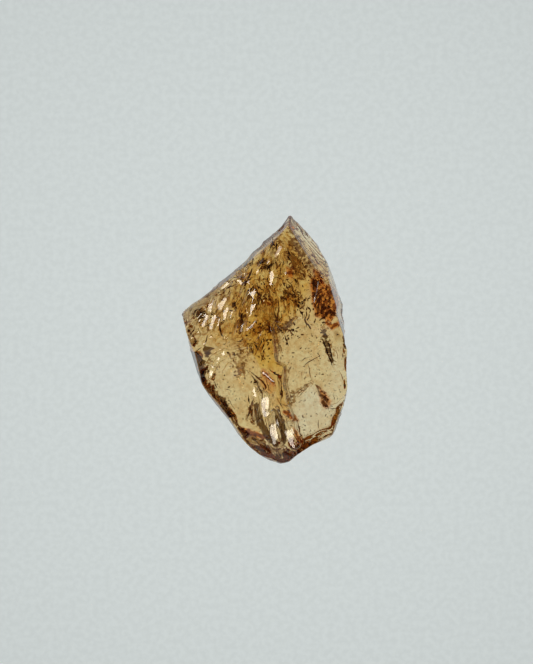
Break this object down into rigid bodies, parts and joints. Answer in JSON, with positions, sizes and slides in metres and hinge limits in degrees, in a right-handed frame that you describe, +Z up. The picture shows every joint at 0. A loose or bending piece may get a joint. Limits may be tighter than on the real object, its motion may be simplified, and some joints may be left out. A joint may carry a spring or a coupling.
{
  "type": "rough golden tourmaline crystal",
  "caption": "Broken piece of clear golden gem crystal lying on its one flat side, pointed at one end and blunt at the other.",
  "frame": {"origin": "under the middle of the stone's outline, on the surface that it lies on", "axes": "+Z up from the surface; +Y along the stone's length, towards its point; +X to the right when the stone is seen from above with its point away from the viewer"},
  "size_m": [0.0148, 0.0222, 0.0066],
  "materials": {
    "golden_crystal": "clear golden crystal with broken, glassy faces"
  },
  "bodies": {
    "root": {"tourmaline": "golden_crystal"}
  },
  "joints": []
}
